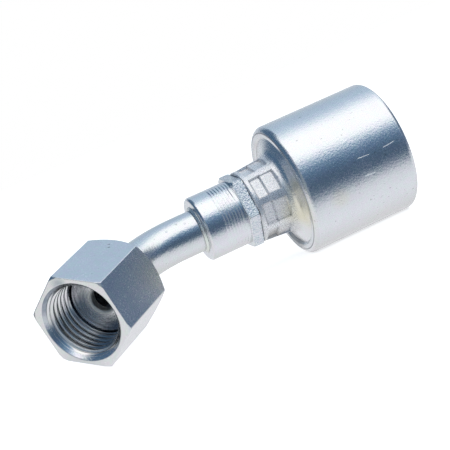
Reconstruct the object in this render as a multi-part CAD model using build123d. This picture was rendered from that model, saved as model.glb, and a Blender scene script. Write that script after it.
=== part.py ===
from build123d import *
import math
import os

# A crimp hose fitting with a bent tube and a flat-faced swivel nut.
# The hose axis is X and the nut's axis leaves it at the corner, where the two axes cross.
# Every piece is first made in that corner frame, then the whole is laid down as it rests.

# Driving sizes, in millimetres and degrees

# Layout: the bend, and the straight runs of tube from it to the collar and to the nut
bend_angle = 45.0
bend_radius = 21.5
collar_run = 5.1
nut_run = 4.2

# Tube
tube_od = 10.3
tube_wall = 1.65

# Seal sleeve, brazed to the tube's end
hub_wall = 1.15
hub_recess = 0.5
head_step = 1.425
head_length = 3.6
face_wall = 2.0
flow_hole = 5.5
flow_chamfer = 0.35
seat_chamfer = 0.3

# Swivel nut round the sleeve, threaded 11/16-16 inside and 13/16 inch across its flats
thread_clearance = 1.005
thread_length = 9.5
relief_step = 0.22
mouth_step = 0.745
nut_wall = 1.59
nut_length = 19.3
nut_turn = 15.3
nut_edge_round = 0.3
nut_front_shoulder = 0.93
nut_front_angle = 30.0
nut_rear_shoulder = -0.22
nut_rear_angle = 45.0
seat_depth = 9.8
swivel_gap = 0.15
swivel_float = 0.25

# Stem: collar, hexagon, shank and ribbed nipple, turned from one bar
collar_diameter = 16.0
collar_length = 10.1
collar_round = 0.7
collar_ring_count = 7
collar_ring_pitch = 0.75
collar_ring_width = 0.55
collar_ring_depth = 0.1
collar_ring_margin = 0.6
socket_depth = 8.6
stem_flats = 16.6
stem_hex_length = 2.7
stem_hex_turn = -3.5
stem_edge_round = 0.25
stem_front_chamfer = 0.5
stem_rear_chamfer = 0.3
shank_diameter = 13.9
nipple_diameter = 12.8
nipple_bore = 9.2
nipple_recess = 1.0
nipple_lead = 1.2
nipple_lead_drop = 0.6
rib_groove_depth = 0.45
rib_groove_width = 1.3
rib_pitch = 3.3
rib_count = 6
rib_margin = 2.6

# Crimp shell with its staked neck
shell_diameter = 32.8
shell_length = 38.2
shell_wall = 2.7
front_wall = 2.9
neck_wall = 2.05
neck_flare = 0.65
neck_plain = 1.7
neck_edge = 0.25
face_reach = 9.85
dish_depth = 0.5
dish_angle = 20.0
dish_round_share = 0.58
rim_width = 0.9
rim_round = 1.5
rear_round = 1.3
mouth_chamfer = 0.7
grip_depth = 0.7
grip_width = 1.4
grip_pitch = 3.6
grip_count = 5
grip_margin = 3.6

# Staked impressions round the neck, each with a deep front step and a shallow rear step
stake_count = 8
stake_turn = 4.5
stake_width = 4.9
stake_start = 1.5
stake_front_length = 2.4
stake_rear_length = 3.3
stake_draft = 26.0
stake_front_wall = 1.1
stake_rear_wall = 1.7
lock_groove_depth = 1.0
lock_start = 2.2
lock_length = 4.4

# Braze and clearances
braze_leg = 0.7
braze_hollow = 0.3
braze_clearance = 0.02
socket_gap = 0.05
end_gap = 0.1
press_gap = 0.05

# Sizes worked out from the ones above
tube_r = tube_od / 2
tube_bore_r = tube_r - tube_wall
hub_r = tube_r + hub_wall
seat_r = hub_r + head_step
thread_r = seat_r + thread_clearance
relief_r = thread_r + relief_step
mouth_r = thread_r + mouth_step
nut_flats = 2 * (thread_r + nut_wall)
nut_front_crown = nut_flats + 2 * nut_front_shoulder
nut_rear_crown = nut_flats + 2 * nut_rear_shoulder
bend_tangent = bend_radius * math.tan(math.radians(bend_angle) / 2)
collar_reach = bend_tangent + collar_run
nut_rear_reach = bend_tangent + nut_run
nut_reach = nut_rear_reach + nut_length
seat_reach = nut_reach - seat_depth
tube_nut_end = seat_reach - face_wall - end_gap
collar_r = collar_diameter / 2
hex_start = collar_reach + collar_length
hex_end = hex_start + stem_hex_length
nipple_r = nipple_diameter / 2
shank_r = shank_diameter / 2
neck_start = hex_end + press_gap
neck_bore_r = shank_r + press_gap
neck_r = neck_bore_r + neck_wall
neck_end_r = neck_r + neck_flare
shell_r = shell_diameter / 2
shell_bore_r = shell_r - shell_wall
shell_end = neck_start + shell_length
rim_plane = neck_start + face_reach
dish_plane = rim_plane + dish_depth
rim_crest_r = shell_r - rim_round
rim_inner_r = rim_crest_r - rim_width
dish_inner_r = rim_inner_r - dish_depth
dish_width = dish_inner_r - neck_end_r
dish_root = dish_plane - dish_width * math.tan(math.radians(dish_angle))
dish_round = dish_round_share * dish_width
cavity_start = dish_plane + front_wall
nipple_end = shell_end - nipple_recess


def turned(points, rounds=()):
    """A solid of revolution about X, from a closed outline of (along, radius) points.

    rounds holds (corner, radius) pairs for the corners that are rounded.
    """
    face = make_face(Polyline(*points, close=True))
    for corner, radius in rounds:
        face = fillet(face.vertices().sort_by_distance(corner)[0], radius)
    return revolve(face, Axis.X)


def hex_bar(flats, start, length, turn, edge_round):
    """A hexagonal bar along X with rounded edges, one at an angle about X from Y towards Z."""
    section = RegularPolygon(flats / 2, 6, major_radius=False)
    corner = section.vertices()[0]
    own_turn = math.degrees(math.atan2(corner.Y, corner.X))
    section = Rot(0, 0, turn - own_turn) * fillet(section.vertices(), edge_round)
    return extrude(Plane.YZ.offset(start) * section, length)


def hex_corner(flats, edge_round):
    """From a hexagon's centre to the crest of its rounded corner."""
    return flats / math.sqrt(3) - edge_round * (2 / math.sqrt(3) - 1)


def cone_rise(outer_diameter, inner_diameter, angle):
    """The length of a crown's cone between two diameters, at an angle to the end face."""
    return (outer_diameter - inner_diameter) / 2 * math.tan(math.radians(angle))


def make_nut():
    """The swivel nut along X, with its crowned hexagon, thread bore, relief and back wall."""
    corner_d = 2 * hex_corner(nut_flats, 0)
    front_rise = cone_rise(corner_d, nut_front_crown, nut_front_angle)
    rear_rise = cone_rise(corner_d, nut_rear_crown, nut_rear_angle)
    crowns = turned([
        (nut_rear_reach, 0),
        (nut_rear_reach, nut_rear_crown / 2),
        (nut_rear_reach + rear_rise, corner_d / 2),
        (nut_reach - front_rise, corner_d / 2),
        (nut_reach, nut_front_crown / 2),
        (nut_reach, 0),
    ])
    bar = hex_bar(nut_flats, nut_rear_reach, nut_length, -nut_turn, nut_edge_round)
    thread_end = nut_reach - thread_length
    back_r = hub_r + swivel_gap
    cone_at_hub = hub_front() - swivel_float
    bore = turned([
        (nut_rear_reach, 0),
        (nut_rear_reach, back_r + seat_chamfer),
        (nut_rear_reach + seat_chamfer, back_r),
        (cone_at_hub + back_r - hub_r, back_r),
        (cone_at_hub + relief_r - hub_r, relief_r),
        (thread_end, relief_r),
        (thread_end, thread_r),
        (nut_reach - mouth_step, thread_r),
        (nut_reach, mouth_r),
        (nut_reach, 0),
    ])
    return (bar & crowns) - bore


def head_back():
    """Where the sleeve's head ends and its cone to the hub begins, along the nut axis."""
    return seat_reach - head_length


def hub_front():
    """Where the sleeve's 45 degree cone meets the hub, along the nut axis."""
    return head_back() - head_step


def make_sleeve():
    """The seal sleeve: flat face, head, 45 degree shoulder and a hub bored for the tube."""
    hub_end = nut_rear_reach + hub_recess
    socket_r = tube_r + socket_gap
    socket_end = seat_reach - face_wall
    hole_r = flow_hole / 2
    return turned([
        (hub_end, socket_r),
        (hub_end, hub_r),
        (hub_front(), hub_r),
        (head_back(), seat_r),
        (seat_reach - seat_chamfer, seat_r),
        (seat_reach, seat_r - seat_chamfer),
        (seat_reach, hole_r + flow_chamfer),
        (seat_reach - flow_chamfer, hole_r),
        (socket_end, hole_r),
        (socket_end, socket_r),
    ])


def make_tube():
    """The bent tube: a straight run into the stem, the bend, and a run into the sleeve."""
    stem_end = collar_reach + socket_depth - end_gap
    run = Line((stem_end, 0, 0), (bend_tangent, 0, 0))
    arc = JernArc(run @ 1, (-1, 0, 0), bend_radius, bend_angle)
    out = Line(arc @ 1, (arc @ 1) + (arc % 1) * (tube_nut_end - bend_tangent))
    path = run + arc + out
    end = Plane(origin=(stem_end, 0, 0), z_dir=(-1, 0, 0))
    return sweep(end * Circle(tube_r) - end * Circle(tube_bore_r), path)


def rib_grooves():
    """The stations of the nipple's grooves along the hose axis."""
    return [nipple_end - rib_margin - rib_groove_width - i * rib_pitch for i in range(rib_count)]


def collar_rings():
    """The outline of the turned rings round the collar, towards the hexagon."""
    points = []
    for i in reversed(range(collar_ring_count)):
        ring = hex_start - collar_ring_margin - i * collar_ring_pitch
        points += [
            (ring - collar_ring_width, collar_r),
            (ring - collar_ring_width / 2, collar_r - collar_ring_depth),
            (ring, collar_r),
        ]
    return points


def make_stem():
    """The stem: ringed collar, chamfered hexagon, staked shank and ribbed, bored nipple."""
    corner_r = hex_corner(stem_flats, 0)
    bar = hex_bar(stem_flats, hex_start, stem_hex_length, stem_hex_turn, stem_edge_round)
    lock_a = neck_start + lock_start - press_gap
    lock_b = neck_start + lock_start + lock_length + press_gap
    lock_r = shank_r - lock_groove_depth
    shank_end = cavity_start
    body = turned([
        (collar_reach, 0),
        (collar_reach, collar_r),
        *collar_rings(),
        (hex_start, collar_r),
        (hex_start, shank_r),
        (lock_a, shank_r),
        (lock_a + lock_groove_depth, lock_r),
        (lock_b - lock_groove_depth, lock_r),
        (lock_b, shank_r),
        (shank_end, shank_r),
        (shank_end, nipple_r),
        (nipple_end - nipple_lead, nipple_r),
        (nipple_end, nipple_r - nipple_lead_drop),
        (nipple_end, 0),
    ], [((collar_reach, collar_r), collar_round)])
    crown = turned([
        (hex_start, 0),
        (hex_start, corner_r - stem_front_chamfer),
        (hex_start + stem_front_chamfer, corner_r),
        (hex_end - stem_rear_chamfer, corner_r),
        (hex_end, corner_r - stem_rear_chamfer),
        (hex_end, 0),
    ])
    body += bar & crown
    for station in rib_grooves():
        body -= turned([
            (station, nipple_r + rib_groove_depth),
            (station, nipple_r - rib_groove_depth),
            (station + rib_groove_width - rib_groove_depth, nipple_r - rib_groove_depth),
            (station + rib_groove_width + rib_groove_depth, nipple_r + rib_groove_depth),
        ])
    socket_r = tube_r + socket_gap
    socket_end = collar_reach + socket_depth
    bore_r = nipple_bore / 2
    drill_end = hex_end
    body -= turned([
        (collar_reach, 0),
        (collar_reach, socket_r),
        (socket_end, socket_r),
        (socket_end, tube_bore_r),
        (drill_end, tube_bore_r),
        (drill_end + bore_r - tube_bore_r, bore_r),
        (nipple_end, bore_r),
        (nipple_end, 0),
    ])
    return body


def shell_outline():
    """The shell's closed outline and its rounded corners, as turned takes them."""
    lock_r = neck_bore_r - lock_groove_depth
    lock_a = neck_start + lock_start
    lock_b = lock_a + lock_length
    outline = [
        (neck_start, neck_bore_r),
        (neck_start, neck_r - neck_edge),
        (neck_start + neck_edge, neck_r),
        (neck_start + neck_plain, neck_r),
        (dish_root, neck_end_r),
        (dish_plane, dish_inner_r),
        (rim_plane, rim_inner_r),
        (rim_plane, shell_r),
        (shell_end, shell_r),
        (shell_end, shell_bore_r + mouth_chamfer),
        (shell_end - mouth_chamfer, shell_bore_r),
    ]
    for i in range(grip_count):
        tooth = shell_end - grip_margin - i * grip_pitch
        outline += [
            (tooth, shell_bore_r),
            (tooth - grip_depth, shell_bore_r - grip_depth),
            (tooth - grip_width, shell_bore_r - grip_depth),
            (tooth - grip_width, shell_bore_r),
        ]
    outline += [
        (cavity_start, shell_bore_r),
        (cavity_start, neck_bore_r),
        (lock_b, neck_bore_r),
        (lock_b - lock_groove_depth, lock_r),
        (lock_a + lock_groove_depth, lock_r),
        (lock_a, neck_bore_r),
    ]
    rounds = [
        ((dish_root, neck_end_r), dish_round),
        ((rim_plane, shell_r), rim_round),
        ((shell_end, shell_r), rear_round),
    ]
    return outline, rounds


def stake_die(start, length, wall):
    """One step of the staking die: a flat foot that leaves a wall to the bore, and a draft."""
    floor = neck_bore_r + wall
    foot = Plane(origin=(start + length / 2, 0, floor)) * Rectangle(length, stake_width)
    return extrude(foot, rim_crest_r - floor, taper=-stake_draft)


def stake_cutter():
    """One impression's tool: a deep front step with a shallower rear step behind it."""
    front = neck_start + stake_start
    step = front + stake_front_length
    return stake_die(front, stake_front_length, stake_front_wall) + stake_die(
        step, stake_rear_length, stake_rear_wall
    )


def make_shell():
    """The crimp shell: staked neck, dished face with a rounded rim, and gripping bore."""
    shell = turned(*shell_outline())
    cutter = stake_cutter()
    for i in range(stake_count):
        shell -= Rot(stake_turn + i * 360 / stake_count, 0, 0) * cutter
    return shell


def make_braze(face, inward):
    """A fillet of braze round the tube, against a face square to X.

    inward is -1 where the tube leaves the face towards lower x, and 1 towards higher x.
    """
    r = tube_r + braze_clearance
    corner = (face + inward * braze_clearance, r)
    foot = (corner[0] + inward * braze_leg, r)
    head = (corner[0], r + braze_leg)
    bulge = braze_leg * braze_hollow
    middle = (corner[0] + inward * bulge, r + bulge)
    edge = ThreePointArc(head, middle, foot)
    face_outline = Polyline(foot, corner, head) + edge
    return revolve(make_face(face_outline), Axis.X)


def rest_roll():
    """The turn about the hose axis that lets shell and nut both touch the ground.

    The nut's lowest point is the front end of its lowest corner edge. With s its distance
    along the nut axis and q its corner radius, its height is a*sin(roll) + b*cos(roll),
    and it has to equal minus the shell's radius.
    """
    bend = math.radians(bend_angle)
    corner_r = hex_corner(nut_flats, nut_edge_round)
    front = nut_reach - cone_rise(2 * corner_r, nut_front_crown, nut_front_angle)
    rolls = []
    for k in range(6):
        turn = math.radians(nut_turn + 60 * k)
        a = -front * math.sin(bend) + corner_r * math.cos(turn) * math.cos(bend)
        b = corner_r * math.sin(turn)
        reach = math.hypot(a, b)
        if b < 0 and reach > shell_r:
            rolls.append(math.pi + math.asin(shell_r / reach) - math.atan2(b, a))
    return math.degrees(min(roll % (2 * math.pi) for roll in rolls))


def main():
    """Make each piece, lay the fitting down and write one file for each."""
    to_nut = Rot(0, 0, 180 + bend_angle)
    lay_down = Pos(-nipple_end, 0, 0) * Rot(rest_roll(), 0, 0)
    pieces = {
        "swivel_nut": to_nut * make_nut(),
        "seal_sleeve": to_nut * make_sleeve(),
        "sleeve_braze": to_nut * make_braze(nut_rear_reach + hub_recess, -1),
        "bent_tube": make_tube(),
        "stem_braze": make_braze(collar_reach, -1),
        "hose_stem": make_stem(),
        "crimp_shell": make_shell(),
    }
    os.makedirs("parts", exist_ok=True)
    for name, piece in pieces.items():
        export_step(lay_down * piece, os.path.join("parts", name + ".step"))
    print("roll at rest", round(rest_roll(), 3))


main()
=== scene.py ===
"""Looks of a bent crimp hose fitting: zinc finishes, thread and rim skins, floor and light.

Lengths are in metres in the part's own frame: the hose axis is X, the fitting lies on the floor
with its shell and its nut, and the origin is the centre of the hose nipple's free end.
"""

import logging
import math
from dataclasses import dataclass, field
from enum import Enum
from typing import Optional, Union

import bpy
import numpy as np
from mathutils import Matrix, Vector


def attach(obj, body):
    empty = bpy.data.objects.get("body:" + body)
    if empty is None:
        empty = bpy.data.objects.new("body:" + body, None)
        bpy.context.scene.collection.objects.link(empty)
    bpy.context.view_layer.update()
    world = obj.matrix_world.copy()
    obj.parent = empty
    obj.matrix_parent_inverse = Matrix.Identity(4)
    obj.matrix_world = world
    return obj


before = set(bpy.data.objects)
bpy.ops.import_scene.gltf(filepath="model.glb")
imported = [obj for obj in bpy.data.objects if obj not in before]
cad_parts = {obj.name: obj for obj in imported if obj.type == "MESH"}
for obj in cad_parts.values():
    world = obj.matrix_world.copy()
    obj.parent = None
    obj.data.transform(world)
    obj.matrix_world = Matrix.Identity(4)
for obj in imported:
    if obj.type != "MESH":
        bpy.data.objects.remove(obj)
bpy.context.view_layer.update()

log = logging.getLogger("fitting")

MM = 0.001
BEND = math.radians(45.0)
ROLL = math.radians(12.039)
CORNER_X = -64.056 * MM
NUT_REACH = 32.406 * MM
HOSE_AXIS = Vector((1.0, 0.0, 0.0))
HOSE_FOOT = Vector((0.0, 0.0, 0.0))
NUT_AXIS = Vector(
    (-math.cos(BEND), -math.sin(BEND) * math.cos(ROLL), -math.sin(BEND) * math.sin(ROLL))
)
NUT_FACE = Vector((CORNER_X, 0.0, 0.0)) + NUT_AXIS * NUT_REACH
FLOOR_Z = -16.4 * MM

# A zone's limit this far out, in metres, is past the part and so leaves the zone open there.
OPEN = 1.0
# The noise's mean, which swings are taken about.
MEAN = 0.5

Number = Union[float, "Wire"]


class Body(Enum):
    """The bodies that pieces ride on."""

    FITTING = "fitting"
    NUT = "nut"


class Wire:
    """One socket's value, with arithmetic that adds Math nodes."""

    def __init__(self, board: "Board", socket: bpy.types.NodeSocket) -> None:
        """Wraps an output socket.

        Args:
            board: the node tree that new nodes go into.
            socket: the output socket.
        """
        self.board = board
        self.socket = socket

    def _math(self, operation: str, *values: Number, clamp: bool = False) -> "Wire":
        """Adds one Math node.

        Args:
            operation: the Math node's operation.
            *values: its inputs, in order.
            clamp: whether the result is held between 0 and 1.

        Returns:
            The node's output.
        """
        settings = {"operation": operation, "use_clamp": clamp}
        return self.board.add("ShaderNodeMath", settings, dict(enumerate(values)))

    def __add__(self, other: Number) -> "Wire":
        """The sum."""
        return self._math("ADD", self, other)

    __radd__ = __add__

    def __sub__(self, other: Number) -> "Wire":
        """The difference."""
        return self._math("SUBTRACT", self, other)

    def __rsub__(self, other: Number) -> "Wire":
        """The difference, the other way round."""
        return self._math("SUBTRACT", other, self)

    def __neg__(self) -> "Wire":
        """The value with its sign turned."""
        return self._math("MULTIPLY", self, -1.0)

    def __mul__(self, other: Number) -> "Wire":
        """The product."""
        return self._math("MULTIPLY", self, other)

    __rmul__ = __mul__

    def root(self) -> "Wire":
        """The square root."""
        return self._math("SQRT", self)

    def size(self) -> "Wire":
        """The absolute value."""
        return self._math("ABSOLUTE", self)

    def angle(self, across: "Wire") -> "Wire":
        """The angle of the point (across, self)."""
        return self._math("ARCTAN2", self, across)

    def over(self, low: float, high: float) -> "Wire":
        """A smooth step, 0 at low and 1 at high.

        The share of the way from low to high is held between 0 and 1, squared, and multiplied
        by three less twice itself.

        Args:
            low: the value where the step is 0.
            high: the value where it is 1, which may lie below low.

        Returns:
            The step.
        """
        span = high - low
        share = self._math("MULTIPLY_ADD", self, 1.0 / span, -low / span, clamp=True)
        return share * share * (3.0 - 2.0 * share)

    def least(self, other: Number) -> "Wire":
        """The smaller of two."""
        return self._math("MINIMUM", self, other)

    def most(self, other: Number) -> "Wire":
        """The larger of two."""
        return self._math("MAXIMUM", self, other)


def solid(colour: Union[Wire, tuple]) -> Union[Wire, tuple]:
    """A colour with full alpha, or the wire as it is."""
    return colour if isinstance(colour, Wire) else (*colour[:3], 1.0)


class Board:
    """A node tree with one way to add a node."""

    def __init__(self, tree: bpy.types.NodeTree) -> None:
        """Empties a tree.

        Args:
            tree: the node tree of a material or of the world.
        """
        self.tree = tree
        tree.nodes.clear()

    def add(self, kind: str, settings: Optional[dict] = None, inputs: Optional[dict] = None,
            out: Union[int, str] = 0) -> Wire:
        """Adds a node, its settings first and then its inputs.

        Args:
            kind: the node's type.
            settings: attributes of the node.
            inputs: values or wires, by the socket's name or number.
            out: the output that is returned, by name or number.

        Returns:
            A wire from that output, or an empty one where the node has no outputs.
        """
        node = self.tree.nodes.new(kind)
        for name, value in (settings or {}).items():
            setattr(node, name, value)
        for name, value in (inputs or {}).items():
            if isinstance(value, Wire):
                self.tree.links.new(value.socket, node.inputs[name])
            else:
                node.inputs[name].default_value = value
        return Wire(self, node.outputs[out]) if len(node.outputs) else Wire(self, None)

    def vector(self, operation: str, *values: Union[Wire, Vector, tuple],
               out: str = "Vector") -> Wire:
        """Adds one Vector Math node and returns its output called out."""
        inputs = {i: v if isinstance(v, Wire) else tuple(v) for i, v in enumerate(values)}
        return self.add("ShaderNodeVectorMath", {"operation": operation}, inputs, out)

    def dot(self, a: Wire, b: Union[Wire, Vector]) -> Wire:
        """The dot product of two vectors."""
        return self.vector("DOT_PRODUCT", a, b, out="Value")

    def join(self, x: Number, y: Number, z: Number) -> Wire:
        """A vector from three numbers."""
        return self.add("ShaderNodeCombineXYZ", None, {0: x, 1: y, 2: z})

    def noise(self, place: Wire, size: float, detail: float, rough: float) -> Wire:
        """Soft noise from 0 to 1 at a place.

        Args:
            place: where it is read.
            size: the size of its features, in metres.
            detail: octaves.
            rough: how much the finer octaves count.

        Returns:
            The noise.
        """
        return self.add("ShaderNodeTexNoise", {"noise_dimensions": "3D"}, {
            "Vector": place, "Scale": 1.0 / size, "Detail": detail, "Roughness": rough,
        })

    def split(self, value: Wire) -> tuple:
        """The three numbers of a vector."""
        node = self.add("ShaderNodeSeparateXYZ", None, {0: value}).socket.node
        return tuple(Wire(self, node.outputs[i]) for i in range(3))

    def ramp(self, share: Wire, bands: tuple, start: float, span: float) -> Wire:
        """A colour from bands that blend into each other.

        Args:
            share: the place along the ramp, from 0 to 1.
            bands: the colours with their angles, in rising order.
            start: the angle at the ramp's start.
            span: the angle that the whole ramp covers.

        Returns:
            The colour.
        """
        colour = self.add("ShaderNodeValToRGB", None, {0: share}, "Color")
        stops = colour.socket.node.color_ramp.elements
        for spare in range(len(stops), len(bands)):
            stops.new(spare / len(bands))
        for stop, band in zip(stops, bands):
            stop.position = (band.angle - start) / span
            stop.color = (*band.colour, 1.0)
        return colour

    def mix(self, share: Number, a: Union[Wire, tuple], b: Union[Wire, tuple]) -> Wire:
        """A colour between a and b."""
        settings = {"data_type": "RGBA", "clamp_factor": True}
        return self.add("ShaderNodeMix", settings, {0: share, 6: solid(a), 7: solid(b)}, 2)


@dataclass(frozen=True)
class Line:
    """An axis that turned surfaces run round: a point on it and its direction."""

    foot: Vector
    along: Vector


HOSE_LINE = Line(HOSE_FOOT, HOSE_AXIS)
NUT_LINE = Line(NUT_FACE, NUT_AXIS)


@dataclass
class Skin:
    """A surface while its finish is put together.

    The place is the point on the piece, the gloss is the roughness, the height is in
    millimetres, the edge is 1 on sharp edges, and the metal is the share of metal reflection.
    """

    board: Board
    place: Wire
    colour: Wire
    gloss: Wire
    height: Wire
    edge: Wire
    metal: Number = 1.0

    def round_axis(self, line: Line) -> tuple:
        """The station along an axis and the distance from it.

        The distance is the root of the whole offset squared less the station squared.

        Args:
            line: the axis.

        Returns:
            Two wires, station and distance, in metres.
        """
        off = self.board.vector("SUBTRACT", self.place, line.foot)
        station = self.board.dot(off, line.along)
        square = self.board.dot(off, off) - station * station
        return station, square.most(0.0).root()

    def tone(self, share: Wire, colour: tuple) -> None:
        """Blends the colour towards another by a share."""
        self.colour = self.board.mix(share, self.colour, colour)


@dataclass(frozen=True)
class Zone:
    """A part of a turned piece, between two stations along an axis and two distances from it."""

    line: Line
    stations: tuple = (-OPEN, OPEN)
    reaches: tuple = (-OPEN, OPEN)
    soft: float = 0.15 * MM

    def mask(self, skin: Skin) -> Wire:
        """How far a point is inside the zone: the product of a soft step at each limit.

        Args:
            skin: the surface.

        Returns:
            1 inside and 0 outside, with a soft step between.
        """
        share = None
        for value, (low, high) in zip(skin.round_axis(self.line), (self.stations, self.reaches)):
            for edge, step in ((low, self.soft), (high, -self.soft)):
                if abs(edge) < OPEN:
                    here = value.over(edge - step / 2, edge + step / 2)
                    share = here if share is None else share * here
        return share


@dataclass(frozen=True)
class Turning:
    """Fine lathe marks round an axis.

    The marks are noise of the station along the axis and the distance from it alone, so they
    run round the piece on its barrels and in rings on its faces. The band is the pair of noise
    values between which a mark rises.
    """

    line: Line
    pitch: float
    depth: float
    shine: float = 0.0
    zone: Optional[Zone] = None
    band: tuple = (0.3, 0.7)

    def put(self, skin: Skin) -> None:
        """Adds the marks to the surface's height and gloss.

        Args:
            skin: the surface.
        """
        station, reach = skin.round_axis(self.line)
        spread = skin.board.join(station, reach, 0.0)
        marks = skin.board.noise(spread, 2.0 * self.pitch, detail=3.0, rough=0.6).over(*self.band)
        if self.zone:
            marks = marks * self.zone.mask(skin)
        skin.height = skin.height + marks * (self.depth / MM)
        skin.gloss = skin.gloss + (marks - MEAN) * self.shine


@dataclass(frozen=True)
class Scratch:
    """A short scratch on a round piece, by its two ends.

    Each end is a station along the hose axis in metres and an angle about it in degrees. The
    core is the share of the width that is cut to the full depth, and the fade is how far
    beyond its ends the scratch is gone and is whole.
    """

    start: tuple
    end: tuple
    width: float = 0.11 * MM
    radius: float = 16.4 * MM
    depth: float = 12.0e-6
    bright: float = 1.0
    colour: tuple = (0.95, 0.96, 0.97)
    core: float = 0.4
    fade: tuple = (0.3 * MM, -0.2 * MM)
    rough: float = 0.25

    def put(self, skin: Skin) -> None:
        """Cuts the scratch where a point's distance to its segment is under its width.

        A point is laid flat as (station, angle times radius), and its distance to the segment
        is what is left of it beside and beyond the segment.

        Args:
            skin: the surface.
        """
        x, y, z = skin.board.split(skin.place)
        turn = z.angle(-y)
        (start_x, start_angle), (end_x, end_angle) = self.start, self.end
        start_arc = math.radians(start_angle) * self.radius
        end_arc = math.radians(end_angle) * self.radius
        length = math.hypot(end_x - start_x, end_arc - start_arc)
        way_x = (end_x - start_x) / length
        way_arc = (end_arc - start_arc) / length
        off_x = x - start_x
        off_arc = turn * (y * y + z * z).root() - start_arc
        beside = (off_arc * way_x - off_x * way_arc).size()
        beyond = (off_x * way_x + off_arc * way_arc - length / 2).size() - length / 2
        cut = beside.over(self.width, self.width * self.core) * beyond.over(*self.fade)
        skin.height = skin.height - cut * (self.depth / MM)
        skin.gloss = skin.gloss + cut * self.rough
        skin.metal = skin.metal - cut * self.bright
        skin.tone(cut * self.bright, self.colour)


@dataclass(frozen=True)
class Dent:
    """A small round dent, darker than the plating round it.

    The core is the share of the radius inside which it is at full depth.
    """

    centre: Vector
    radius: float
    dark: float = 0.8
    depth: float = 60.0e-6
    core: float = 0.35
    colour: tuple = (0.35, 0.40, 0.46)

    def put(self, skin: Skin) -> None:
        """Lowers and darkens the surface round the dent's centre.

        Args:
            skin: the surface.
        """
        gap = skin.board.vector("DISTANCE", skin.place, self.centre, out="Value")
        dent = gap.over(self.radius, self.radius * self.core)
        skin.height = skin.height - dent * (self.depth / MM)
        skin.tone(dent * self.dark, self.colour)


@dataclass(frozen=True)
class Patch:
    """A soft round patch of another colour, such as a stain, painted shade or painted light,
    inside a zone where one is given.

    The chalk is the share of its metal reflection that is taken off, for a pale deposit and for
    painted light, the core the share of the radius inside which it is at its strongest, and the
    cloud the size of its unevenness.
    """

    centre: Vector
    radius: float
    colour: tuple
    share: float = 0.7
    zone: Optional[Zone] = None
    chalk: float = 0.0
    core: float = 0.2
    cloud: float = 2.2 * MM

    def put(self, skin: Skin) -> None:
        """Blends the patch's colour in, more towards its centre and unevenly over it.

        The strength is the share times the sum of the cloud's noise and a half.

        Args:
            skin: the surface.
        """
        gap = skin.board.vector("DISTANCE", skin.place, self.centre, out="Value")
        cloud = skin.board.noise(skin.place, self.cloud, detail=3.0, rough=0.6)
        strength = self.share * MEAN + cloud * self.share
        here = gap.over(self.radius, self.radius * self.core) * strength
        if self.zone:
            here = here * self.zone.mask(skin)
        skin.tone(here, self.colour)
        if self.chalk:
            skin.metal = skin.metal - here * self.chalk


@dataclass(frozen=True)
class Dull:
    """A zone with a duller, rougher, darker or chalkier skin than the rest of its piece, also used
    for painted shade and for painted highlights.

    The rough is added to its roughness, the grain and the depth are the size and height of its
    own bumps, and the chalk is taken off its metal reflection. The spread is the share by which
    the colour swings: noise strays about a quarter from its mean, which the gain makes up for.
    """

    zone: Zone
    colour: tuple
    share: float = 1.0
    rough: float = 0.0
    grain: float = 0.5 * MM
    depth: float = 0.0
    spread: float = 0.0
    chalk: float = 0.0
    gain: float = 4.0

    def put(self, skin: Skin) -> None:
        """Blends the zone's colour, gloss and grain in.

        Args:
            skin: the surface.
        """
        mask = self.zone.mask(skin)
        noise = skin.board.noise(skin.place, self.grain, detail=2.0, rough=0.6)
        swing = (noise - MEAN) * (self.gain * self.spread) + self.share
        skin.tone(mask * swing.most(0.0).least(1.0), self.colour)
        skin.gloss = skin.gloss + mask * self.rough
        skin.height = skin.height + mask * noise * (self.depth / MM)
        if self.chalk:
            skin.metal = skin.metal - mask * self.chalk


@dataclass(frozen=True)
class CreviceShade:
    """Painted shade in corners and gaps: the colour is darkened where little open space lies round
    a point.

    It starts where the open share of the surroundings within reach is under open_share, and is
    full at shut_share.
    """

    reach: float = 0.9 * MM
    share: float = 0.8
    colour: tuple = (0.16, 0.17, 0.19)
    open_share: float = 0.62
    shut_share: float = 0.25
    samples: int = 6

    def put(self, skin: Skin) -> None:
        """Blends the painted shade's dark colour in where the surroundings within reach close the
        point in.

        Args:
            skin: the surface.
        """
        settings = {"samples": self.samples}
        reach = {"Distance": self.reach}
        free = skin.board.add("ShaderNodeAmbientOcclusion", settings, reach, "AO")
        skin.tone(free.over(self.open_share, self.shut_share) * self.share, self.colour)


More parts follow.
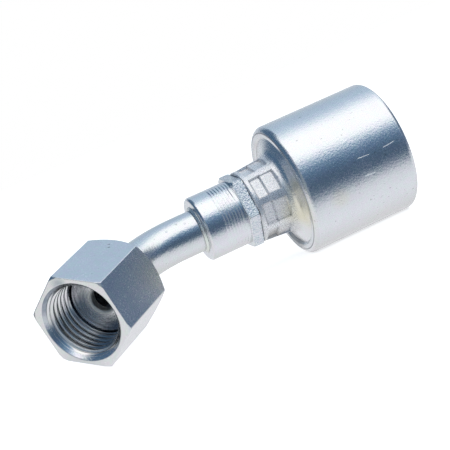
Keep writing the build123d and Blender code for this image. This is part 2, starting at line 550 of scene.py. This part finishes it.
@dataclass(frozen=True)
class Zinc:
    """Bright zinc plate: tint, gloss, grain, clouding, and marks: what the piece's own work left
    on it, and painted shade and highlights.

    The grain and the waves are bumps of two sizes. The cloud and the mottle are shares by which
    the plating's lightness swings over several millimetres and over parts of one, and the bloom
    is the share by which its hue swings between violet and green. Warm is the share of yellow
    stain, and speck of small dark specks. Edges within the edge's radius carry a painted
    highlight: their colour is lightened by one share, and they lose another share of their metal
    reflection, so that they show chalky white. Each band is a pair of values of a noise, or
    of the edge's cosine, where a soft step starts and ends.
    """

    name: str
    tint: tuple = (0.80, 0.815, 0.835)
    gloss: float = 0.22
    gloss_spread: float = 0.10
    grain: float = 0.45 * MM
    grain_depth: float = 40.0e-6
    wave_depth: float = 14.0e-6
    cloud: float = 0.06
    mottle: float = 0.08
    bloom: float = 0.015
    warm: float = 0.05
    speck: float = 0.5
    speck_size: float = 0.55 * MM
    edge: float = 0.22 * MM
    edge_highlight: float = 0.5
    edge_white: float = 0.0
    edge_highlight_colour: tuple = (0.95, 0.96, 0.98)
    edge_band: tuple = (0.998, 0.93)
    edge_samples: int = 6
    hue_size: float = 1.3 * MM
    hue_band: tuple = (0.38, 0.62)
    stain_size: float = 11.0 * MM
    stain_band: tuple = (0.52, 0.72)
    stain_red: float = 1.04
    stain_blue: float = 0.84
    speck_band: tuple = (0.71, 0.77)
    speck_dark: float = 0.5
    fine_size: float = 0.28 * MM
    fine_gain: float = 4.0
    wave_size: float = 2.4 * MM
    cloud_size: float = 5.0 * MM
    gloss_limits: tuple = (0.05, 0.8)
    marks: tuple = ()

    def plating(self, board: Board, place: Wire, cloud: Wire, fine: Wire) -> Wire:
        """The plating's own colour.

        Args:
            board: the node tree.
            place: the point on the piece.
            cloud: the wide swing, from 0 to 1.
            fine: the fine swing, from 0 to 1.

        Returns:
            The colour.
        """
        red, green, blue = self.tint
        violet = (red * (1 + self.bloom), green * (1 - self.bloom), blue * (1 + self.bloom))
        leaf = (red * (1 - self.bloom), green * (1 + self.bloom), blue)
        dark = tuple(part * self.speck_dark for part in self.tint)
        yellow = (red * self.stain_red, green, blue * self.stain_blue)
        hue = board.noise(place, self.hue_size, detail=2.0, rough=0.6)
        stain = board.noise(place, self.stain_size, detail=2.0, rough=0.5)
        speck = board.noise(place, self.speck_size, detail=1.0, rough=0.4).over(*self.speck_band)
        colour = board.mix(hue.over(*self.hue_band), violet, leaf)
        colour = board.mix(speck * self.speck, colour, dark)
        colour = board.mix(stain.over(*self.stain_band) * self.warm, colour, yellow)
        lightness = (cloud - MEAN) * (2 * self.cloud) + (fine - MEAN) * (2 * self.mottle) + 1.0
        return board.add("ShaderNodeVectorMath", {"operation": "SCALE"}, {
            0: colour, "Scale": lightness,
        })

    def make(self) -> bpy.types.Material:
        """Builds the material.

        Returns:
            The new material, with metal reflection from its colour, gloss and bump.
        """
        material = bpy.data.materials.new(self.name)
        material.use_nodes = True
        board = Board(material.node_tree)
        place = board.add("ShaderNodeTexCoord", out="Object")
        grain = board.noise(place, self.grain, detail=3.0, rough=0.65)
        fine = board.noise(place, self.fine_size, detail=2.0, rough=0.6)
        wave = board.noise(place, self.wave_size, detail=1.0, rough=0.5)
        cloud = board.noise(place, self.cloud_size, detail=3.0, rough=0.55)
        spread = (cloud - MEAN) + (fine - MEAN) * self.fine_gain
        bevel = {"samples": self.edge_samples}
        edge = board.add("ShaderNodeBevel", bevel, {"Radius": self.edge})
        facing = board.add("ShaderNodeNewGeometry", out="Normal")
        skin = Skin(
            board, place,
            colour=self.plating(board, place, cloud, fine),
            gloss=spread * self.gloss_spread + self.gloss,
            height=grain * (self.grain_depth / MM) + wave * (self.wave_depth / MM),
            edge=board.dot(edge, facing).over(*self.edge_band),
        )
        # Painted highlight along the edges: their colour is lightened there.
        skin.tone(skin.edge * self.edge_highlight, self.edge_highlight_colour)
        # Painted highlight too: the edges lose metal reflection and show chalky white.
        if self.edge_white:
            skin.metal = 1.0 - skin.edge * self.edge_white
        for mark in self.marks:
            mark.put(skin)
        bump = board.add("ShaderNodeBump", None, {
            "Strength": 1.0, "Distance": MM, "Height": skin.height, "Normal": edge,
        }, "Normal")
        low, high = self.gloss_limits
        metal = skin.metal
        shader = board.add("ShaderNodeBsdfPrincipled", None, {
            "Base Color": skin.colour,
            "Roughness": skin.gloss.most(low).least(high),
            "Metallic": metal.most(0.0) if isinstance(metal, Wire) else metal,
            "Normal": bump,
        }, "BSDF")
        board.add("ShaderNodeOutputMaterial", None, {"Surface": shader})
        return material


def dress(node: str, finish: Zinc) -> None:
    """Gives a CAD node its finish.

    Args:
        node: the node's name.
        finish: the finish.
    """
    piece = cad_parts[node]
    piece.data.materials.clear()
    piece.data.materials.append(finish.make())
    log.info("%s: %s", node, finish.name)


def ring_mesh(name: str, points: np.ndarray) -> bpy.types.Object:
    """A closed mesh of quads from a grid of points that joins up both ways.

    Each quad runs from row i and column j to the next of both, and the last row and the last
    column are joined to the first.

    Args:
        name: the object's name.
        points: an array of shape (rows, columns, 3).

    Returns:
        The new object, at the origin.
    """
    rows, columns = points.shape[:2]
    i = np.arange(rows)[:, None]
    j = np.arange(columns)[None, :]
    after_i, after_j = (i + 1) % rows, (j + 1) % columns
    quads = np.stack([
        i * columns + j, i * columns + after_j, after_i * columns + after_j, after_i * columns + j,
    ], axis=-1).reshape(-1, 4)
    mesh = bpy.data.meshes.new(name)
    mesh.from_pydata(points.reshape(-1, 3), [], quads)
    mesh.polygons.foreach_set("use_smooth", np.ones(len(mesh.polygons), bool))
    mesh.update()
    piece = bpy.data.objects.new(name, mesh)
    bpy.context.scene.collection.objects.link(piece)
    return piece


@dataclass
class SwivelNut:
    """The swivel nut: its finish, and the thread that its plain bore carries.

    Depths run back from the nut's front face along its axis. The crest share and the root share
    are where the flank of the thread's wave starts and ends.
    """

    front_depth: float = 0.72 * MM
    back_depth: float = 9.72 * MM
    entry_depth: float = 1.15 * MM
    entry_length: float = 0.5 * MM
    lip_length: float = 0.3 * MM
    pitch: float = 1.5875 * MM
    root: float = 8.70 * MM
    crest: float = 7.90 * MM
    root_share: float = 0.92
    crest_share: float = 0.18
    wall: float = 9.0 * MM
    mouth: float = 9.475 * MM
    mouth_round: float = 0.38 * MM
    steps_round: int = 160
    steps_pitch: int = 22
    # Painted shade: the dark colour of the mouth's cone, standing in for the shadowed floor that
    # it reflects.
    painted_mouth_shade: tuple = (0.20, 0.24, 0.29)
    dents: tuple = (Vector((-73.39, -14.46, 7.23)) * MM, Vector((-73.85, -15.73, 6.79)) * MM)
    dent_radius: float = 0.42 * MM

    def finish(self) -> Zinc:
        """The finish of the nut's flats and faces.

        Returns:
            Bright zinc with two dents, painted shade on the mouth's cone and two grey patches of
            painted shade on the front face.
        """
        chamfer = Zone(NUT_LINE, (-1.2 * MM, OPEN), (-OPEN, 9.50 * MM), 0.05 * MM)
        face = Zone(NUT_LINE, (-0.1 * MM, OPEN), (9.50 * MM, OPEN), 0.05 * MM)
        return Zinc(
            "nut_zinc", gloss=0.20, grain=0.42 * MM, grain_depth=26.0e-6, wave_depth=5.0e-6,
            cloud=0.05, mottle=0.10, bloom=0.02, warm=0.0, speck=0.35, edge=0.32 * MM,
            marks=(
                *(Dent(centre, self.dent_radius) for centre in self.dents),
                # Painted shade on the mouth's cone.
                Patch(self.rim_point(52.0), 7.5 * MM, self.painted_mouth_shade, 0.85, chamfer),
                # Painted shade: two grey patches that darken the front face.
                Patch(self.rim_point(-62.0), 7.0 * MM, (0.62, 0.65, 0.69), 0.55, face),
                Patch(self.rim_point(88.0), 2.6 * MM, (0.45, 0.50, 0.56), 0.8, face),
            ),
        )

    def rim_point(self, angle: float) -> Vector:
        """A point on the mouth's edge: the face's centre plus the radius along both directions.

        Args:
            angle: the angle about the nut's axis, in degrees from the level direction.

        Returns:
            The point.
        """
        side, up = self.cross_axes()
        turn = math.radians(angle)
        return NUT_FACE + (side * math.cos(turn) + up * math.sin(turn)) * self.mouth

    def cross_axes(self) -> tuple:
        """Two directions square to the nut's axis, one level and one upwards."""
        side = NUT_AXIS.cross(Vector((0.0, 0.0, 1.0))).normalized()
        return side, side.cross(NUT_AXIS).normalized()

    def thread_finish(self) -> Zinc:
        """The finish of the cut thread, brighter and smoother than the flats.

        Returns:
            Turned zinc with painted shade in the roots, a painted highlight on the pale first
            land, and painted shade in the mouth and the depth.
        """
        mouth = Zone(NUT_LINE, (-1.35 * MM, OPEN), (8.70 * MM, OPEN), 0.2 * MM)
        roots = Zone(NUT_LINE, (-OPEN, -1.9 * MM), (8.50 * MM, OPEN), 0.3 * MM)
        land = Zone(NUT_LINE, (-2.10 * MM, -1.30 * MM), (-OPEN, 8.30 * MM), 0.2 * MM)
        depths = Zone(NUT_LINE, (-OPEN, -2.4 * MM), (-OPEN, 8.8 * MM), 0.8 * MM)
        lower_depths = self.rim_point(-80.0) - NUT_AXIS * (6.0 * MM)
        return Zinc(
            "thread_zinc", tint=(0.80, 0.80, 0.79), gloss=0.15, gloss_spread=0.06,
            grain=0.3 * MM, grain_depth=6.0e-6, edge=0.05 * MM, cloud=0.08, warm=0.3, speck=0.3,
            edge_highlight=0.0,
            marks=(
                Turning(NUT_LINE, 0.12 * MM, 2.0e-6, shine=0.1),
                # Painted shade in the thread's roots.
                Dull(roots, (0.16, 0.16, 0.17), 0.80),
                # Painted highlight: a pale, rough first land.
                Dull(land, (0.97, 0.97, 0.96), rough=0.30),
                # Painted shade in the mouth and, darker, in the lower depths of the bore.
                Patch(self.rim_point(52.0), 7.5 * MM, self.painted_mouth_shade, 0.85, mouth),
                Patch(lower_depths, 12.0 * MM, (0.30, 0.31, 0.33), 0.75, depths),
            ),
        )

    def thread_points(self) -> np.ndarray:
        """The thread's closed skin.

        The radius is a wave, between crest and root, of the depth less the turn's share of the
        pitch. Outside it stands the mouth's 45 degree cone, and the two meet in a round: half
        their sum plus half the root of their difference squared plus the round squared. The
        groove comes in behind the mouth and runs out before a plain lip at the seat. The skin
        closes behind, inside the nut's wall. Its rows run from the back to the front, so that
        the faces point outwards.

        Returns:
            Points of shape (profile, round, 3), in the part's frame.
        """
        turns = (self.back_depth - self.front_depth) / self.pitch
        depth = np.linspace(self.front_depth, self.back_depth, int(turns * self.steps_pitch) + 1)
        angle = np.linspace(0.0, 2.0 * math.pi, self.steps_round, endpoint=False)
        phase = (depth[:, None] / self.pitch - angle[None, :] / (2.0 * math.pi)) % 1.0
        rise = np.abs(phase - 0.5) * 2.0
        flank = self.root_share - self.crest_share
        share = np.clip((rise - self.crest_share) / flank, 0.0, 1.0)
        share = share * share * (3.0 - 2.0 * share)
        entry = np.clip((depth - self.entry_depth) / self.entry_length, 0.0, 1.0)
        ending = np.clip((self.back_depth - self.lip_length - depth) / self.lip_length, 0.0, 1.0)
        fade = (entry * ending)[:, None]
        radius = self.crest + (self.root - self.crest) * share * fade
        cone = (self.mouth - depth)[:, None]
        near = np.sqrt((radius - cone) ** 2 + self.mouth_round ** 2)
        radius = (radius + cone + near) / 2.0
        back = np.full((2, self.steps_round), self.wall)
        radius = np.concatenate([back[:1], radius, back[1:]])
        depth = np.concatenate([depth[:1], depth, depth[-1:]])
        side, up = (np.array(way) for way in self.cross_axes())
        ring = np.cos(angle)[:, None] * side + np.sin(angle)[:, None] * up
        axis = np.array(NUT_FACE)[None, :] - depth[:, None] * np.array(NUT_AXIS)[None, :]
        skin = axis[:, None, :] + radius[..., None] * ring[None, :, :]
        return skin[::-1]

    def build(self) -> None:
        """Makes the thread, seats it in the nut and dresses both."""
        thread = ring_mesh("internal_thread", self.thread_points())
        thread.data.materials.append(self.thread_finish().make())
        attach(thread, Body.NUT.value)
        log.info("internal_thread: %d faces", len(thread.data.polygons))
        dress("swivel_nut", self.finish())


@dataclass
class SealSleeve:
    """The sleeve that the nut turns on, with its faced seal, and its braze."""

    # Painted highlight: a pale, rough ring at the flow hole's edge.
    flow_edge_highlight: Zone = Zone(NUT_LINE, reaches=(2.6 * MM, 3.45 * MM))

    def build(self) -> None:
        """Dresses the sleeve and the braze."""
        dress("seal_sleeve", Zinc(
            "sleeve_zinc", tint=(0.86, 0.87, 0.89), gloss=0.22, gloss_spread=0.08, cloud=0.10,
            # Painted highlights along the sleeve's edges.
            warm=0.0, speck=0.4, grain_depth=12.0e-6, edge=0.15 * MM, edge_highlight=0.9,
            marks=(
                Turning(NUT_LINE, 0.32 * MM, 6.0e-6, shine=0.2),
                # Painted highlight on the flow hole's edge.
                Dull(self.flow_edge_highlight, (0.97, 0.98, 0.96), rough=0.35),
            ),
        ))
        # The braze gets painted shade in its corners and gaps.
        dress("sleeve_braze", Zinc("sleeve_braze_zinc", gloss=0.3, cloud=0.1, marks=(CreviceShade(),)))


@dataclass
class BentTube:
    """The drawn and bent tube, with two faint dents."""

    dents: tuple = (
        (Vector((-58.11, -4.15, 3.3)) * MM, 0.5 * MM),
        (Vector((-53.4, -4.01, 3.23)) * MM, 0.4 * MM),
    )
    dent_dark: float = 0.25

    def build(self) -> None:
        """Dresses the tube."""
        dress("bent_tube", Zinc(
            "tube_zinc", tint=(0.77, 0.79, 0.80), gloss=0.21, grain=0.55 * MM,
            grain_depth=52.0e-6, cloud=0.05, warm=0.04, speck=0.6,
            marks=tuple(Dent(centre, radius, self.dent_dark) for centre, radius in self.dents),
        ))


@dataclass
class HoseStem:
    """The stem: collar with its run of turned rings, hexagon, and the ribbed nipple."""

    hexagon: Zone = Zone(HOSE_LINE, (-39.75 * MM, -37.1 * MM), (8.02 * MM, OPEN), 0.06 * MM)

    def build(self) -> None:
        """Dresses the stem and the braze at its collar."""
        dress("hose_stem", Zinc(
            "stem_zinc", gloss=0.19, grain_depth=46.0e-6, cloud=0.05, mottle=0.10, bloom=0.02,
            speck=0.6, edge=0.12 * MM,
            marks=(
                Turning(HOSE_LINE, 0.2 * MM, 3.0e-6, shine=0.06),
                Dull(
                    self.hexagon, (0.47, 0.57, 0.65), 0.27, rough=0.03, grain=0.40 * MM,
                    depth=140.0e-6, spread=0.9,
                ),
                # Painted shade in the stem's corners and gaps.
                CreviceShade(share=0.5),
            ),
        ))
        dress("stem_braze", Zinc(
            "stem_braze_zinc", tint=(0.82, 0.86, 0.82), gloss=0.34, cloud=0.1,
            # Painted shade in the braze's corners and gaps.
            marks=(CreviceShade(0.5 * MM, 0.9, open_share=0.50, shut_share=0.20),),
        ))


@dataclass
class CrimpShell:
    """The crimp shell: satin barrel with a few scratches, dished front and staked neck.

    The staking cuts eight shallow facets into the crest of the solid's rim. A thin turned skin
    over the crest, from the dish's wall to the barrel's round, shows it whole. The deposit is
    the pale bloom on the neck and, at the foot of the dish's wall, painted light that brightens a
    dark reflection; the stain is brown, and a dark line along the crest is painted shade. The
    skin stands proud by skin_lift, dips under the solid by skin_sink at both ends and is
    skin_depth thick, and its crest is a 45 degree wall, a corner, a flat and a round of
    round_reach degrees.
    """

    # Pale chalk: a bloom on the neck, and painted light at the foot of the dish's wall.
    deposit_and_painted_light: tuple = (0.84, 0.80, 0.76)
    stain: tuple = (0.78, 0.75, 0.62)
    rim_plane: float = -27.35 * MM
    rim_inner: float = 14.0 * MM
    rim_crest: float = 14.9 * MM
    rim_round: float = 1.5 * MM
    wall_drop: float = 0.22 * MM
    corner_round: float = 0.25 * MM
    round_reach: float = 66.0
    skin_lift: float = 0.025 * MM
    skin_sink: float = 0.08 * MM
    skin_depth: float = 0.45 * MM
    lift_power: float = 0.25
    steps_round: int = 288
    steps_wall: int = 6
    steps_corner: int = 9
    steps_flat: int = 12
    steps_along: int = 24
    barrel: Zone = Zone(HOSE_LINE, reaches=(15.9 * MM, OPEN), soft=0.6 * MM)
    neck: Zone = Zone(HOSE_LINE, (-OPEN, -28.4 * MM), (-OPEN, 10.3 * MM), 1.2 * MM)
    # Painted shade: a dark line along the rim's crest.
    crest_shade_line: Zone = Zone(HOSE_LINE, (-OPEN, -26.9 * MM), (14.95 * MM, 15.25 * MM), 0.1 * MM)

    def rim_points(self) -> np.ndarray:
        """The closed skin over the rim's crest.

        Its profile runs down the dish's 45 degree wall, round the crest's inner corner, along
        the flat and along the barrel's round. Each point is lifted off the solid along its
        normal, and the lift falls below the surface towards both ends: it is the lift and the
        sink mixed by a half sine of the length, raised to lift_power. The skin closes under the
        surface.

        Returns:
            Points of shape (profile, round, 3), in the part's frame.
        """
        slant = math.sqrt(0.5)
        tangent = self.corner_round * math.tan(math.radians(45.0 / 2))
        wall = np.linspace(self.wall_drop, tangent * slant, self.steps_wall)
        corner = np.radians(np.linspace(180.0 + 45.0, 180.0, self.steps_corner)[1:-1])
        flat = np.linspace(self.rim_inner + tangent, self.rim_crest, self.steps_flat)
        turn = np.radians(np.linspace(0.0, self.round_reach, self.steps_along)[1:])
        runs = (
            (wall, self.rim_inner - wall, -slant, -slant),
            (self.corner_round * (1.0 + np.cos(corner)),
             self.rim_inner + tangent + self.corner_round * np.sin(corner),
             np.cos(corner), np.sin(corner)),
            (0.0, flat, -1.0, 0.0),
            (self.rim_round * (1.0 - np.cos(turn)), self.rim_crest + self.rim_round * np.sin(turn),
             -np.cos(turn), np.sin(turn)),
        )
        x, r, out_x, out_r = np.concatenate([np.broadcast_arrays(*run) for run in runs], axis=1)
        length = np.concatenate([[0.0], np.cumsum(np.hypot(np.diff(x), np.diff(r)))])
        share = np.clip(np.sin(math.pi * length / length[-1]), 0.0, 1.0) ** self.lift_power
        lift = self.skin_lift * share - self.skin_sink * (1.0 - share)
        x = np.concatenate([x + out_x * lift, (x - out_x * self.skin_depth)[::-1]])
        r = np.concatenate([r + out_r * lift, (r - out_r * self.skin_depth)[::-1]])
        angle = np.linspace(0.0, 2.0 * math.pi, self.steps_round, endpoint=False)
        return np.stack([
            np.broadcast_to((self.rim_plane + x)[:, None], (len(x), len(angle))),
            r[:, None] * np.cos(angle)[None, :],
            r[:, None] * np.sin(angle)[None, :],
        ], axis=-1)

    def build_rim(self, finish: bpy.types.Material) -> None:
        """Makes the skin over the rim's crest.

        Args:
            finish: the shell's material.
        """
        rim = ring_mesh("shell_rim", self.rim_points())
        rim.data.materials.append(finish)
        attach(rim, Body.FITTING.value)
        log.info("shell_rim: %d faces", len(rim.data.polygons))

    def build(self) -> None:
        """Dresses the shell, and its rim's skin in the same material."""
        dress("crimp_shell", Zinc(
            "shell_zinc", gloss=0.22, gloss_spread=0.12, grain=0.5 * MM, grain_depth=52.0e-6,
            cloud=0.05, mottle=0.10, warm=0.10, speck=0.6, speck_size=0.70 * MM,
            # Strong painted highlights along the shell's edges, lightened and chalky white.
            edge_highlight=0.9, edge_white=0.6,
            marks=(
                Turning(HOSE_LINE, 0.22 * MM, 1.0e-6, 0.05, self.barrel),
                # Painted shade along the rim's crest.
                Dull(self.crest_shade_line, (0.20, 0.22, 0.25), 0.75),
                Dull(
                    self.neck, (0.93, 0.92, 0.93), 0.5, rough=0.10, grain=0.55 * MM,
                    depth=70.0e-6, spread=0.8, chalk=0.34,
                ),
                Scratch((-5.6 * MM, 5.3), (-2.6 * MM, 6.3)),
                Scratch((-12.4 * MM, 5.7), (-9.5 * MM, 5.0)),
                Scratch((-12.3 * MM, -10.2), (-9.6 * MM, -10.8), width=0.26 * MM),
                Patch(Vector((-27.9, -9.5, -4.7)) * MM, 6.5 * MM, self.stain, 0.9),
                # Painted light: a pale chalky patch that brightens the dark reflection at the foot
                # of the dish's wall.
                Patch(Vector((-27.3, 5.0, -13.0)) * MM, 7.0 * MM, self.deposit_and_painted_light, 1.2, chalk=0.8),
                # A pale chalky bloom on the neck.
                Patch(Vector((-34.0, -2.0, -8.6)) * MM, 3.5 * MM, self.deposit_and_painted_light, 1.0, chalk=0.5),
                Patch(Vector((-27.6, -12.0, 1.0)) * MM, 3.5 * MM, self.stain, 0.8),
                Patch(Vector((-19.7, -15.5, -5.2)) * MM, 3.5 * MM, self.stain, 0.4),
                # Painted shade in the shell's corners and gaps, and darker painted shade lines
                # along the stake steps.
                CreviceShade(),
                CreviceShade(0.35 * MM, 0.95, (0.10, 0.11, 0.13), open_share=0.85, shut_share=0.50),
            ),
        ))
        self.build_rim(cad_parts["crimp_shell"].data.materials[0])


@dataclass(frozen=True)
class Band:
    """A colour of the studio at an angle in degrees, in linear light."""

    angle: float
    colour: tuple


@dataclass
class Studio:
    """Floor, surroundings and camera.

    A name that ends in x, y, z or turn holds where a soft step of that part of the direction
    starts and ends, and the step of strip_x and strip_turn has two sides.
    """

    floor_half: float = 1.2
    floor_colour: tuple = (0.88, 0.88, 0.87)
    floor_glow: float = 0.72
    around: tuple = (
        Band(-180.0, (0.075, 0.120, 0.185)),
        Band(-163.0, (0.080, 0.125, 0.190)),
        Band(-155.0, (0.125, 0.180, 0.255)),
        Band(-146.0, (0.520, 0.560, 0.610)),
        Band(-136.0, (0.780, 0.800, 0.840)),
        Band(-100.0, (0.880, 0.900, 0.940)),
        Band(-55.0, (0.780, 0.780, 0.790)),
        Band(-42.0, (0.740, 0.740, 0.730)),
        Band(-22.0, (0.860, 0.860, 0.890)),
        Band(8.0, (0.740, 0.780, 0.820)),
        Band(25.0, (0.500, 0.580, 0.660)),
        Band(42.0, (0.450, 0.565, 0.690)),
        Band(62.0, (0.500, 0.630, 0.770)),
        Band(76.0, (0.660, 0.780, 0.900)),
        Band(86.0, (1.120, 1.160, 1.200)),
        Band(94.0, (1.250, 1.250, 1.250)),
        Band(138.0, (1.250, 1.250, 1.250)),
        Band(143.0, (0.750, 0.880, 1.000)),
        Band(148.0, (0.290, 0.430, 0.580)),
        Band(158.0, (0.130, 0.230, 0.360)),
        Band(172.0, (0.085, 0.145, 0.240)),
        Band(180.0, (0.075, 0.120, 0.185)),
    )
    left: tuple = (
        Band(-24.0, (0.86, 0.87, 0.88)),
        Band(-16.0, (0.84, 0.84, 0.79)),
        Band(-10.0, (0.55, 0.56, 0.52)),
        Band(-4.0, (0.27, 0.28, 0.30)),
        Band(2.0, (0.145, 0.170, 0.215)),
        Band(10.0, (0.085, 0.150, 0.235)),
        Band(45.0, (0.080, 0.145, 0.235)),
    )
    left_x: tuple = (-0.42, -0.58)
    behind_y: tuple = (0.1, 0.3)
    behind_x: tuple = (-0.32, -0.48)
    behind_lean: float = 0.5
    front: tuple = (0.26, 0.31, 0.36)
    front_x: tuple = (-0.22, -0.42)
    front_y: tuple = (-0.45, -0.65)
    front_z: tuple = (0.55, 0.35)
    right: tuple = (0.115, 0.170, 0.255)
    right_x: tuple = (0.70, 0.90)
    right_z: tuple = (-0.30, -0.10)
    strip: tuple = (1.10, 1.15, 1.20)
    strip_x: tuple = ((0.56, 0.66), (0.90, 0.82))
    strip_turn: tuple = ((0.80, 0.95), (1.40, 1.25))
    camera_place: Vector = field(default_factory=lambda: Vector((-122.703, -309.383, 37.876)) * MM)
    camera_yaw: float = 75.657
    camera_pitch: float = -7.043
    camera_roll: float = -22.970
    focal_pixels: float = 1356.9
    frame_pixels: float = 450.0
    sensor: float = 36.0

    def build_camera(self) -> None:
        """Sets the camera at the photograph's viewing angle.

        The line of sight comes from yaw and pitch, and the picture's right and up directions
        are turned about it by the roll.
        """
        yaw = math.radians(self.camera_yaw)
        pitch = math.radians(self.camera_pitch)
        roll = math.radians(self.camera_roll)
        level_part = math.cos(pitch)
        sight = Vector((math.cos(yaw) * level_part, math.sin(yaw) * level_part, math.sin(pitch)))
        level = sight.cross(Vector((0.0, 0.0, 1.0))).normalized()
        up = level.cross(sight)
        right = level * math.cos(roll) + up * math.sin(roll)
        up = right.cross(sight)
        data = bpy.data.cameras.new("camera")
        data.sensor_width = self.sensor
        data.lens = self.sensor * self.focal_pixels / self.frame_pixels
        data.clip_start, data.clip_end = 0.01, 10.0
        camera = bpy.data.objects.new("camera", data)
        bpy.context.scene.collection.objects.link(camera)
        turn = Matrix((right, up, -sight)).transposed().to_4x4()
        camera.matrix_world = Matrix.Translation(self.camera_place) @ turn
        bpy.context.scene.camera = camera

    def build_floor(self) -> None:
        """Makes the floor, white with a soft shadow.

        It shows its own lit colour plus a little light of its own, which brings it to white.
        Reflections look past it at the surroundings, which hold the table's light below.
        """
        half = self.floor_half
        mesh = bpy.data.meshes.new("floor")
        corners = ((-half, -half), (half, -half), (half, half), (-half, half))
        mesh.from_pydata([(x, y, FLOOR_Z) for x, y in corners], [], [(0, 1, 2, 3)])
        floor = bpy.data.objects.new("floor", mesh)
        floor.visible_glossy = False
        bpy.context.scene.collection.objects.link(floor)
        material = bpy.data.materials.new("floor_white")
        material.use_nodes = True
        board = Board(material.node_tree)
        seen = board.add("ShaderNodeLightPath", out="Is Camera Ray")
        white = board.add("ShaderNodeBsdfDiffuse", None, {"Color": solid(self.floor_colour)})
        glow = board.add("ShaderNodeEmission", None, {
            "Color": (1.0, 1.0, 1.0, 1.0), "Strength": seen * self.floor_glow,
        })
        lit = board.add("ShaderNodeAddShader", None, {0: white, 1: glow})
        board.add("ShaderNodeOutputMaterial", None, {"Surface": lit})
        mesh.materials.append(material)

    def build_world(self) -> None:
        """Makes the surroundings: white to the camera, a studio to the metal.

        The light runs in bands round the X axis: a softbox over the front, a dark room towards
        the camera, the pale table below and a blue-grey backdrop behind. Towards the left end
        the bands give way to a second set by height and, level with the part on the camera's
        side, to a grey patch. Towards the right end they give way to one colour, with a small
        bright strip before it.
        """
        world = bpy.data.worlds.new("studio")
        bpy.context.scene.world = world
        world.use_nodes = True
        board = Board(world.node_tree)
        way = board.add("ShaderNodeTexCoord", out="Generated")
        x, y, z = board.split(way)
        turn = z.angle(y)
        colour = board.ramp(turn * (0.5 / math.pi) + 0.5, self.around, -180.0, 360.0)
        left = board.ramp(z * 0.5 + 0.5, self.left_heights(), -1.0, 2.0)
        behind = y.over(*self.behind_y) * (x - z * self.behind_lean).over(*self.behind_x)
        colour = board.mix(x.over(*self.left_x).most(behind), colour, left)
        front = x.over(*self.front_x) * y.over(*self.front_y) * z.size().over(*self.front_z)
        colour = board.mix(front, colour, self.front)
        level = z.over(*self.right_z)
        colour = board.mix(x.over(*self.right_x) * level, colour, self.right)
        strip = x.over(*self.strip_x[0]) * x.over(*self.strip_x[1])
        strip = strip * turn.over(*self.strip_turn[0]) * turn.over(*self.strip_turn[1])
        colour = board.mix(strip, colour, self.strip)
        seen = board.add("ShaderNodeLightPath", out="Is Camera Ray")
        colour = board.mix(seen, colour, (1.0, 1.0, 1.0))
        light = board.add("ShaderNodeBackground", None, {"Color": colour, "Strength": 1.0})
        board.add("ShaderNodeOutputWorld", None, {"Surface": light})

    def left_heights(self) -> tuple:
        """The left end's bands, by the sine of their height."""
        return tuple(Band(math.sin(math.radians(band.angle)), band.colour) for band in self.left)

    def build(self) -> None:
        """Sets up the view, the camera, the floor and the light."""
        bpy.context.scene.view_settings.view_transform = "Standard"
        self.build_camera()
        self.build_floor()
        self.build_world()


def main() -> None:
    """Builds every sub-assembly in order."""
    logging.basicConfig(level=logging.INFO, format="%(name)s: %(message)s")
    for part in (CrimpShell(), HoseStem(), BentTube(), SealSleeve(), SwivelNut(), Studio()):
        part.build()
        log.info("%s done", type(part).__name__)


if __name__ == "__main__":
    main()
